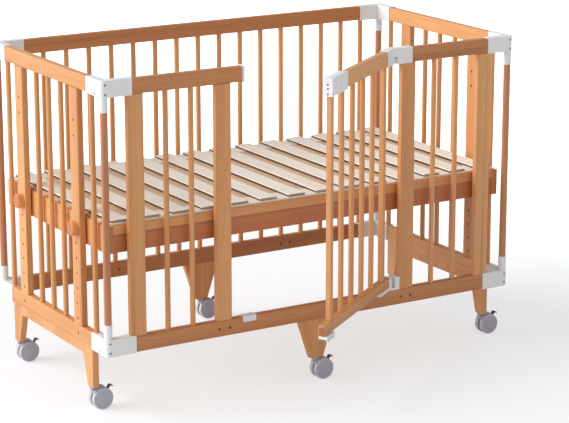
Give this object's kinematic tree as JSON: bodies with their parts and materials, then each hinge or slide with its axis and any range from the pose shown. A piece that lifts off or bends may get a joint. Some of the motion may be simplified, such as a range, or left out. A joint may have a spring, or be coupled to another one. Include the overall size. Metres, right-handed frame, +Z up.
{
  "type": "crib",
  "caption": "Slatted wooden crib with white corner brackets, a hinged gate standing open in the front, a slatted base and casters.",
  "frame": {"origin": "middle of the underside of the bounding box, on the floor, with the gate standing open as stored", "axes": "+X along the crib's length, +Y from the gate side to the closed back, +Z up"},
  "size_m": [1.3062, 0.9472, 0.875],
  "materials": {
    "frame_wood": "satin clear lacquer on warm beech-like wood",
    "knob_wood": "satin clear lacquer",
    "red_brown_wood": "satin lacquer, redder board",
    "pale_wood": "bare, sanded",
    "white_plastic": "fine satin moulding",
    "wheel_plastic": "smooth satin",
    "dark_metal": "dark",
    "steel": "plain"
  },
  "bodies": {
    "frame": {"back_top_rail": "frame_wood", "back_bottom_rail": "frame_wood", "front_bottom_rail": "frame_wood", "front_top_rails": "frame_wood", "end_top_rails": "frame_wood", "end_bottom_rails": "frame_wood", "frame_spindles": "frame_wood", "end_posts": "frame_wood", "front_posts": "frame_wood", "top_corner_brackets": "white_plastic", "bottom_corner_brackets": "white_plastic", "corner_rods": "frame_wood", "frame_screws": "dark_metal", "end_leg_frames": "frame_wood", "middle_legs": "frame_wood", "base_end_boards": "frame_wood", "base_side_rails": "red_brown_wood", "base_side_strips": "frame_wood", "base_panel": "pale_wood", "base_battens": "pale_wood", "base_slats": "pale_wood", "base_insert_nuts": "steel", "top_hinge_frame_half": "white_plastic", "bottom_hinge_frame_half": "white_plastic", "hinge_pins": "steel", "top_striker": "white_plastic", "bottom_striker": "white_plastic"},
    "gate": {"gate_top_rail": "frame_wood", "gate_bottom_rail": "frame_wood", "gate_stiles": "frame_wood", "gate_spindles": "frame_wood", "top_hinge_gate_half": "white_plastic", "bottom_hinge_gate_half": "white_plastic", "gate_catch_foot": "white_plastic", "latch_housing": "white_plastic"},
    "latch_pins": {"latch_pins": "steel"},
    "latch_button": {"latch_button": "white_plastic"},
    "knob_left_front": {"knob_left_front": "knob_wood"},
    "knob_left_back": {"knob_left_back": "knob_wood"},
    "knob_right_front": {"knob_right_front": "knob_wood"},
    "knob_right_back": {"knob_right_back": "knob_wood"},
    "swivel_left_front": {"caster_housing_left_front": "wheel_plastic"},
    "wheels_left_front": {"caster_wheels_left_front": "wheel_plastic"},
    "lever_left_front": {"caster_lever_left_front": "dark_metal"},
    "swivel_left_back": {"caster_housing_left_back": "wheel_plastic"},
    "wheels_left_back": {"caster_wheels_left_back": "wheel_plastic"},
    "lever_left_back": {"caster_lever_left_back": "dark_metal"},
    "swivel_middle_front": {"caster_housing_middle_front": "wheel_plastic"},
    "wheels_middle_front": {"caster_wheels_middle_front": "wheel_plastic"},
    "lever_middle_front": {"caster_lever_middle_front": "dark_metal"},
    "swivel_middle_back": {"caster_housing_middle_back": "wheel_plastic"},
    "wheels_middle_back": {"caster_wheels_middle_back": "wheel_plastic"},
    "lever_middle_back": {"caster_lever_middle_back": "dark_metal"},
    "swivel_right_front": {"caster_housing_right_front": "wheel_plastic"},
    "wheels_right_front": {"caster_wheels_right_front": "wheel_plastic"},
    "lever_right_front": {"caster_lever_right_front": "dark_metal"},
    "swivel_right_back": {"caster_housing_right_back": "wheel_plastic"},
    "wheels_right_back": {"caster_wheels_right_back": "wheel_plastic"},
    "lever_right_back": {"caster_lever_right_back": "dark_metal"}
  },
  "joints": [
    {"name": "gate_hinge", "type": "hinge", "parent": "frame", "child": "gate", "pos_m": [0.21697, -0.17522, 0.5435], "axis": [0, 0, 1], "range_deg": [-36.2, 53.8]},
    {"name": "latch_button_press", "type": "slide", "parent": "gate", "child": "latch_button", "axis": [-0.5906, 0.807, 0], "range_m": [0, 0.002]},
    {"name": "latch_pins_slide", "type": "slide", "parent": "gate", "child": "latch_pins", "axis": [-0.807, -0.5906, 0], "range_m": [0, 0.005]},
    {"name": "knob_left_front_turn", "type": "hinge", "parent": "frame", "child": "knob_left_front", "pos_m": [-0.63613, -0.02332, 0.47], "axis": [1, 0, 0], "continuous": true},
    {"name": "knob_left_back_turn", "type": "hinge", "parent": "frame", "child": "knob_left_back", "pos_m": [-0.63613, 0.30468, 0.47], "axis": [1, 0, 0], "continuous": true},
    {"name": "knob_right_front_turn", "type": "hinge", "parent": "frame", "child": "knob_right_front", "pos_m": [0.61107, -0.02332, 0.47], "axis": [1, 0, 0], "continuous": true},
    {"name": "knob_right_back_turn", "type": "hinge", "parent": "frame", "child": "knob_right_back", "pos_m": [0.61107, 0.30468, 0.47], "axis": [1, 0, 0], "continuous": true},
    {"name": "caster_left_front_swivel", "type": "hinge", "parent": "frame", "child": "swivel_left_front", "pos_m": [-0.62543, -0.08382, 0.062], "axis": [0, 0, 1], "continuous": true},
    {"name": "caster_left_front_roll", "type": "hinge", "parent": "swivel_left_front", "child": "wheels_left_front", "pos_m": [-0.60543, -0.08382, 0.0285], "axis": [0, 1, 0], "continuous": true},
    {"name": "caster_left_front_brake", "type": "hinge", "parent": "swivel_left_front", "child": "lever_left_front", "pos_m": [-0.59243, -0.08382, 0.0435], "axis": [0, 1, 0], "range_deg": [0, 20]},
    {"name": "caster_left_back_swivel", "type": "hinge", "parent": "frame", "child": "swivel_left_back", "pos_m": [-0.62543, 0.36518, 0.062], "axis": [0, 0, 1], "continuous": true},
    {"name": "caster_left_back_roll", "type": "hinge", "parent": "swivel_left_back", "child": "wheels_left_back", "pos_m": [-0.60543, 0.36518, 0.0285], "axis": [0, 1, 0], "continuous": true},
    {"name": "caster_left_back_brake", "type": "hinge", "parent": "swivel_left_back", "child": "lever_left_back", "pos_m": [-0.59243, 0.36518, 0.0435], "axis": [0, 1, 0], "range_deg": [0, 20]},
    {"name": "caster_middle_front_swivel", "type": "hinge", "parent": "frame", "child": "swivel_middle_front", "pos_m": [-0.01253, -0.17522, 0.062], "axis": [0, 0, 1], "continuous": true},
    {"name": "caster_middle_front_roll", "type": "hinge", "parent": "swivel_middle_front", "child": "wheels_middle_front", "pos_m": [0.00747, -0.17522, 0.0285], "axis": [0, 1, 0], "continuous": true},
    {"name": "caster_middle_front_brake", "type": "hinge", "parent": "swivel_middle_front", "child": "lever_middle_front", "pos_m": [0.02047, -0.17522, 0.0435], "axis": [0, 1, 0], "range_deg": [0, 20]},
    {"name": "caster_middle_back_swivel", "type": "hinge", "parent": "frame", "child": "swivel_middle_back", "pos_m": [-0.01253, 0.45658, 0.062], "axis": [0, 0, 1], "continuous": true},
    {"name": "caster_middle_back_roll", "type": "hinge", "parent": "swivel_middle_back", "child": "wheels_middle_back", "pos_m": [0.00747, 0.45658, 0.0285], "axis": [0, 1, 0], "continuous": true},
    {"name": "caster_middle_back_brake", "type": "hinge", "parent": "swivel_middle_back", "child": "lever_middle_back", "pos_m": [0.02047, 0.45658, 0.0435], "axis": [0, 1, 0], "range_deg": [0, 20]},
    {"name": "caster_right_front_swivel", "type": "hinge", "parent": "frame", "child": "swivel_right_front", "pos_m": [0.60037, -0.08382, 0.062], "axis": [0, 0, 1], "continuous": true},
    {"name": "caster_right_front_roll", "type": "hinge", "parent": "swivel_right_front", "child": "wheels_right_front", "pos_m": [0.62037, -0.08382, 0.0285], "axis": [0, 1, 0], "continuous": true},
    {"name": "caster_right_front_brake", "type": "hinge", "parent": "swivel_right_front", "child": "lever_right_front", "pos_m": [0.63337, -0.08382, 0.0435], "axis": [0, 1, 0], "range_deg": [0, 20]},
    {"name": "caster_right_back_swivel", "type": "hinge", "parent": "frame", "child": "swivel_right_back", "pos_m": [0.60037, 0.36518, 0.062], "axis": [0, 0, 1], "continuous": true},
    {"name": "caster_right_back_roll", "type": "hinge", "parent": "swivel_right_back", "child": "wheels_right_back", "pos_m": [0.62037, 0.36518, 0.0285], "axis": [0, 1, 0], "continuous": true},
    {"name": "caster_right_back_brake", "type": "hinge", "parent": "swivel_right_back", "child": "lever_right_back", "pos_m": [0.63337, 0.36518, 0.0435], "axis": [0, 1, 0], "range_deg": [0, 20]}
  ],
  "couplings": [
    {"joint": "latch_button_press", "follows": "latch_pins_slide", "ratio": 0.4}
  ]
}
